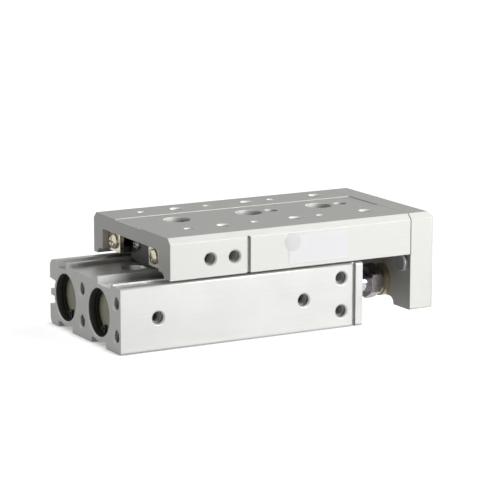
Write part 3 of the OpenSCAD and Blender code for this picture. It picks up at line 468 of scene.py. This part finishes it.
class SLIDETABLE_OT_finishes(bpy.types.Operator):
    """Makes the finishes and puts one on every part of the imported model"""
    bl_idname = "slidetable.finishes"
    bl_label = "Finishes"

    def execute(self, context):
        # Aluminium drawn through a die and clear anodised: fine lines run along X, and the oxide
        # scatters most of the light, so it looks pale grey and satin
        # The last flag multiplies painted highlights and painted shade into the body's colour
        finish("body_aluminium", "clear anodised drawn aluminium", 0.45, (0.3, 0.42),
               (30, 0.35, 0.35), 0.035, 0.006, painted_light=True, Specular_IOR_Level=0.15)
        # Aluminium ground all over and clear anodised: a finer, shorter grain than the body's
        # The last flag multiplies painted highlights and painted shade into the table's colour
        finish("table_aluminium", "clear anodised ground aluminium", 0.2, (0.48, 0.6),
               (9, 0.3, 0.3), 0.03, 0.004, painted_light=True, Specular_IOR_Level=0.15)
        # Glass-filled resin, moulded: a dull, faintly mottled olive grey
        finish("cap_resin", "moulded glass-filled resin", 0.0, (0.55, 0.7), (0.5, 0.5, 0.5), 0.12,
               0.012)
        # Nitrile rubber, moulded: black with a soft sheen
        finish("nitrile_rubber", "moulded nitrile rubber", 0.0, (0.45, 0.6), (0.4, 0.4, 0.4), 0.1,
               0.01)
        # Spring steel stamped and phosphated: near black, with a fine crystal grain
        finish("black_spring_steel", "phosphated spring steel", 0.6, (0.42, 0.58),
               (0.25, 0.25, 0.25), 0.15, 0.008)
        # Brass turned on a lathe: faint rings round the axis, a feed of about 0.1 mm drawn as
        # 0.25 mm so that it shows
        finish("brass", "turned brass", 1.0, (0.25, 0.38), (0.25, 0.25, 1), 0.06, 0.004, True)
        # Urethane, cast: a cloudy honey colour, soft sheen
        finish("urethane", "cast urethane", 0.0, (0.35, 0.5), (2, 2, 2), 0.08, 0.01,
               Subsurface_Weight=0.15)
        # Bearing steel hardened and ground: grey, with grinding lines along the rails
        finish("guide_steel", "hardened ground steel", 1.0, (0.28, 0.42), (12, 0.15, 0.15), 0.1,
               0.003)
        # Acetal, machined: black and slightly waxy
        finish("black_resin", "machined black acetal", 0.0, (0.35, 0.5), (0.3, 0.3, 3), 0.12, 0.006)
        # Alloy steel, black oxide: black with a little oil left on it
        finish("black_oxide_steel", "black oxide alloy steel", 0.7, (0.32, 0.48),
               (0.3, 0.3, 0.3), 0.15, 0.006)
        # Steel with bright zinc: silvery, a little uneven
        finish("zinc_steel", "bright zinc plated steel", 1.0, (0.25, 0.4), (0.3, 0.3, 0.3), 0.06,
               0.004)
        # Steel with nickel: warm silver, with the rolled sheet's long marks under the plating
        finish("nickel_steel", "nickel plated rolled steel", 1.0, (0.2, 0.34), (0.3, 5, 0.3), 0.05,
               0.003)
        # Tapped aluminium threads: a darker colour than the faces round them, painted shade for the
        # depths of the holes
        finish("thread_shade", "tapped aluminium", 0.7, (0.35, 0.5), (0.4, 0.4, 0.4), 0.08, 0.003)
        # Hard chrome, ground and polished: mirror bright, faint rings round the rod
        finish("hard_chrome", "polished hard chrome", 1.0, (0.06, 0.14), (0.3, 0.3, 1), 0.02,
               0.0008, True)
        # Bearing steel, lapped: bright and nearly free of marks
        finish("bearing_steel", "lapped bearing steel", 1.0, (0.08, 0.16), (0.4, 0.4, 0.4), 0.03,
               0.0008)
        # Aluminium turned on a lathe, not anodised: bright rings
        finish("piston_aluminium", "turned aluminium", 1.0, (0.25, 0.4), (0.25, 0.25, 1), 0.06,
               0.004, True)
        # Ferrite bonded in rubber: dull charcoal
        finish("magnet", "bonded ferrite", 0.0, (0.6, 0.75), (0.3, 0.3, 0.3), 0.12, 0.01)
        # Stainless steel, turned: bright rings on the faces
        finish("stainless_steel", "turned stainless steel", 1.0, (0.22, 0.36), (0.25, 0.25, 1),
               0.06, 0.004, True)
        # Sintered bronze soaked in oil: olive brown, its pores drawn at 0.4 mm so that they show
        finish("bush_bronze", "oiled sintered bronze", 0.9, (0.34, 0.55), (0.4, 0.4, 0.4), 0.22,
               0.01)
        # Acetal, natural: milky white with a soft gloss
        finish("stop_resin", "natural acetal", 0.0, (0.3, 0.4), (0.4, 0.4, 0.4), 0.02, 0.003,
               Subsurface_Weight=0.1)
        # Vinyl film, calendered: smooth white, a trace of orange peel from the glue below
        finish("label_film", "white vinyl film", 0.0, (0.28, 0.36), (1.6, 1.6, 1.6), 0.01, 0.01)
        # Paper-backed seal, matt grey
        finish("seal_film", "matt grey film", 0.0, (0.55, 0.65), (0.5, 0.5, 0.5), 0.03, 0.006)
        for part in frame["record"]["subparts"]:
            mesh = frame["nodes"][part["node"]].data
            mesh.materials.clear()
            mesh.materials.append(finish_of(part["material_slot"]))
        return {"FINISHED"}


# ---------- pieces ----------


class SLIDETABLE_OT_edges(bpy.types.Operator):
    """Breaks the sharp edges of the machined parts, as deburring and anodising leave them"""
    bl_idname = "slidetable.edges"
    bl_label = "Broken edges"

    def execute(self, context):
        sizes = context.scene.slide_table_sizes
        for name in ("body", "table", "end_plate"):
            part = frame["nodes"][name]
            weld = part.modifiers.new("weld", "WELD")
            weld.merge_threshold = 0.002 * MM
            plane = part.modifiers.new("faces", "DECIMATE")
            plane.decimate_type = "DISSOLVE"
            plane.angle_limit = math.radians(0.5)
            edge = part.modifiers.new("edges", "BEVEL")
            edge.width = sizes.edge
            edge.segments = 2
            edge.limit_method = "ANGLE"
            edge.angle_limit = math.radians(30)
            # Three roundings meet at the end plate's corners, which need the clamp; on the other
            # two it would leave no edge at all, because their holes have short sides
            edge.use_clamp_overlap = name == "end_plate"
            edge.harden_normals = True
        return {"FINISHED"}


class SLIDETABLE_OT_threads(bpy.types.Operator):
    """Winds the thread ridges in the tapped holes and on the stop screw"""
    bl_idname = "slidetable.threads"
    bl_label = "Threads"

    def execute(self, context):
        sizes = context.scene.slide_table_sizes
        m5 = {"crest": sizes.thread_crest, "pitch": sizes.pitch, "start": sizes.mouth}
        thread_holes("rear_face_threads", "base", "body_aluminium", ["body_rear_face_threads"],
                     turns=9, **m5)
        thread_holes("side_threads", "base", "body_aluminium", ["body_side_threads"],
                     turns=6, **m5)
        thread_holes("port_threads", "base", "body_aluminium", ["air_ports"], turns=4, **m5)
        thread_holes("work_threads", "slide", "table_aluminium",
                     ["table_work_threads_outer", "table_work_threads_middle"], turns=4, **m5)
        thread_holes("wall_threads", "slide", "table_aluminium", ["table_side_threads"],
                     turns=6, **m5)
        thread_holes("tool_threads", "slide", "table_aluminium", ["end_plate_threads"],
                     turns=7, **m5)
        thread_holes("mounting_threads", "base", "body_aluminium",
                     ["body_mounting_threads_rear", "body_mounting_threads_front"],
                     sizes.mount_crest, sizes.mount_pitch, turns=14, start=sizes.mouth)
        coil = thread_coil(sizes.stop_crest, sizes.stop_pitch, 1, outward=True)
        middle = (STOP_TIP[0] + STOP_TIP[1]) / 2
        coil.matrix_world = (Matrix.Translation((STOP_TIP[1].x + sizes.stop_pitch / 2, *middle.yz))
                             @ Matrix.Rotation(math.pi / 2, 4, "Y"))
        settle(coil, "stop_screw_thread", "slide", "zinc_steel", smooth_angle=40)
        return {"FINISHED"}


class SLIDETABLE_OT_label(bpy.types.Operator):
    """Lays the blank label and its plain round seal on the table's side"""
    bl_idname = "slidetable.label"
    bl_label = "Blank label"

    def execute(self, context):
        sizes = context.scene.slide_table_sizes
        low, high = (corner.copy() for corner in LABEL)
        proud = low.y
        low.y += sizes.seal_step
        middle = (low + high) / 2
        deselect()
        bpy.ops.mesh.primitive_cube_add(size=1, location=middle, scale=high - low)
        film = context.object
        bpy.ops.object.transform_apply(location=True, rotation=True, scale=True)
        bpy.ops.object.mode_set(mode="EDIT")
        bpy.ops.mesh.select_mode(type="EDGE")
        bpy.ops.mesh.select_all(action="DESELECT")
        bpy.ops.object.mode_set(mode="OBJECT")
        points = film.data.vertices
        for edge in film.data.edges:
            run = points[edge.vertices[0]].co - points[edge.vertices[1]].co
            edge.select = abs(run.y) > abs(run.x) + abs(run.z)
        bpy.ops.object.mode_set(mode="EDIT")
        bpy.ops.mesh.bevel(offset=sizes.label_corner, segments=6)
        bpy.ops.object.mode_set(mode="OBJECT")
        settle(film, "label_film", "slide", "label_film")
        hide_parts("name_label")

        deselect()
        bpy.ops.mesh.primitive_cylinder_add(
            vertices=64, radius=sizes.seal_d / 2, depth=high.y - low.y, end_fill_type="NGON",
            location=(low.x + sizes.seal_x, (low.y + high.y) / 2, high.z - sizes.seal_drop),
            rotation=(math.pi / 2, 0, 0))
        seal = context.object
        bpy.ops.object.transform_apply(location=True, rotation=True, scale=True)
        bpy.ops.object.mode_set(mode="EDIT")
        bpy.ops.mesh.select_mode(type="FACE")
        bpy.ops.mesh.select_all(action="DESELECT")
        bpy.ops.object.mode_set(mode="OBJECT")
        for face in seal.data.polygons:
            face.select = face.normal.y < -0.9
        bpy.ops.object.mode_set(mode="EDIT")
        bpy.ops.mesh.inset(thickness=sizes.seal_rim, depth=low.y - proud)
        bpy.ops.object.mode_set(mode="OBJECT")
        settle(seal, "round_seal", "slide", "label_film", material="seal_film")
        return {"FINISHED"}


class SLIDETABLE_OT_stage(bpy.types.Operator):
    """Sets up the floor, the white surroundings, the lamps and the camera"""
    bl_idname = "slidetable.stage"
    bl_label = "Stage"

    def execute(self, context):
        studio = context.scene.slide_table_studio
        self.floor(studio)
        self.surroundings(context, studio)
        self.lamps(studio)
        self.camera(context, studio)
        context.scene.view_settings.view_transform = "Standard"
        return {"FINISHED"}

    def floor(self, studio):
        """A pale floor that shows white to the eye and keeps the part's soft shadow; its glow is dimmed
        close under the part, a painted contact shadow.
        """
        deselect()
        bpy.ops.mesh.primitive_plane_add(size=FLOOR_SIZE, location=(0, 0, -FLOOR_GAP * MM))
        floor = bpy.context.object
        floor.name = "floor"
        material = bpy.data.materials.new("floor_paper")
        material.use_nodes = True
        tree = material.node_tree
        tree.nodes.clear()
        # Painted contact shadow: the floor's glow is dimmed where the part is near
        clear = add(tree, "ShaderNodeAmbientOcclusion", links={"Distance": studio.contact})
        glow = sums(tree, "MULTIPLY", white_rays(tree), studio.floor_glow)
        glow = sums(tree, "MULTIPLY", glow, clear.outputs["AO"])
        lit = add(tree, "ShaderNodeBsdfDiffuse", links={"Color": (*linear("#E6E6E6"), 1)})
        lift = add(tree, "ShaderNodeEmission", links={"Strength": glow})
        both = add(tree, "ShaderNodeAddShader", links={0: lit.outputs[0], 1: lift.outputs[0]})
        add(tree, "ShaderNodeOutputMaterial", links={"Surface": both.outputs[0]})
        floor.data.materials.append(material)

    def surroundings(self, context, studio):
        """White to the eye and to gloss and glass, and a plain soft light on everything else."""
        world = bpy.data.worlds.new("studio")
        world.use_nodes = True
        tree = world.node_tree
        tree.nodes.clear()
        strength = spread(tree, white_rays(tree), studio.ambient, 1.0)
        back = add(tree, "ShaderNodeBackground", links={
            "Color": (1, 1, 1, 1), "Strength": strength})
        add(tree, "ShaderNodeOutputWorld", links={"Surface": back.outputs[0]})
        context.scene.world = world

    def lamps(self, studio):
        """A soft lamp for the port side, a weaker one for the rear and one for the end plate."""
        target = (CAD_BOX[0] + CAD_BOX[1]) / 2
        for name, way, power in (("key", (0.55, -1, 0.3), studio.key),
                                 ("fill", (-1, 0.7, 0.1), studio.fill),
                                 ("back", (1, 0.3, 0.15), studio.back)):
            toward = Vector(way).normalized()
            deselect()
            bpy.ops.object.light_add(type="AREA", location=target + toward * LAMP_DISTANCE)
            lamp = bpy.context.object
            lamp.name = name
            lamp.data.shape = "DISK"
            lamp.data.size = LAMP_SIZE
            lamp.data.energy = power
            lamp.rotation_mode = "QUATERNION"
            lamp.rotation_quaternion = toward.to_track_quat("Z", "Y")

    def camera(self, context, studio):
        """Stands to the port side and behind, a little above the table's top."""
        turn, tilt, roll = (math.radians(angle) for angle in CAMERA_ANGLES)
        back = Vector((math.sin(turn) * math.cos(tilt), -math.cos(turn) * math.cos(tilt),
                       math.sin(tilt)))
        right = (-back).cross(Vector((0, 0, 1))).normalized()
        up = right.cross(-back)
        across = right * math.cos(roll) + up * math.sin(roll)
        above = up * math.cos(roll) - right * math.sin(roll)
        data = bpy.data.cameras.new("camera")
        data.lens = studio.lens
        data.sensor_width = 36
        data.clip_start = 0.05
        camera = bpy.data.objects.new("camera", data)
        place = Matrix((across, above, back)).transposed().to_4x4()
        place.translation = Vector(CAMERA_PLACE) * MM
        camera.matrix_world = place
        context.scene.collection.objects.link(camera)
        context.scene.camera = camera


def white_rays(tree):
    """1 for the rays that show the surroundings, in view, in gloss and through glass; else 0."""
    rays = add(tree, "ShaderNodeLightPath").outputs
    seen = sums(tree, "MAXIMUM", rays["Is Camera Ray"], rays["Is Glossy Ray"])
    return sums(tree, "MAXIMUM", seen, rays["Is Transmission Ray"])


class SLIDETABLE_PT_panel(bpy.types.Panel):
    """The dresser's settings and steps"""
    bl_idname = "SLIDETABLE_PT_panel"
    bl_label = "Slide Table"
    bl_space_type = "VIEW_3D"
    bl_region_type = "UI"
    bl_category = "Slide Table"

    def draw(self, context):
        layout = self.layout
        for operator in OPERATORS:
            layout.operator(operator.bl_idname)
        for group in (context.scene.slide_table_sizes, context.scene.slide_table_colours,
                      context.scene.slide_table_studio):
            for name in group.__annotations__:
                layout.prop(group, name)


OPERATORS = (SLIDETABLE_OT_finishes, SLIDETABLE_OT_edges, SLIDETABLE_OT_threads,
             SLIDETABLE_OT_label, SLIDETABLE_OT_stage)
CLASSES = (SlideTableColours, SlideTableSizes, SlideTableStudio, *OPERATORS,
           SLIDETABLE_PT_panel)


def register():
    for cls in CLASSES:
        bpy.utils.register_class(cls)
    scene = bpy.types.Scene
    scene.slide_table_colours = bpy.props.PointerProperty(type=SlideTableColours)
    scene.slide_table_sizes = bpy.props.PointerProperty(type=SlideTableSizes)
    scene.slide_table_studio = bpy.props.PointerProperty(type=SlideTableStudio)


def unregister():
    scene = bpy.types.Scene
    del scene.slide_table_studio
    del scene.slide_table_sizes
    del scene.slide_table_colours
    for cls in reversed(CLASSES):
        bpy.utils.unregister_class(cls)


def main():
    register()
    bpy.ops.slidetable.finishes()
    bpy.ops.slidetable.edges()
    bpy.ops.slidetable.threads()
    bpy.ops.slidetable.label()
    bpy.ops.slidetable.stage()


if __name__ == "__main__":
    main()
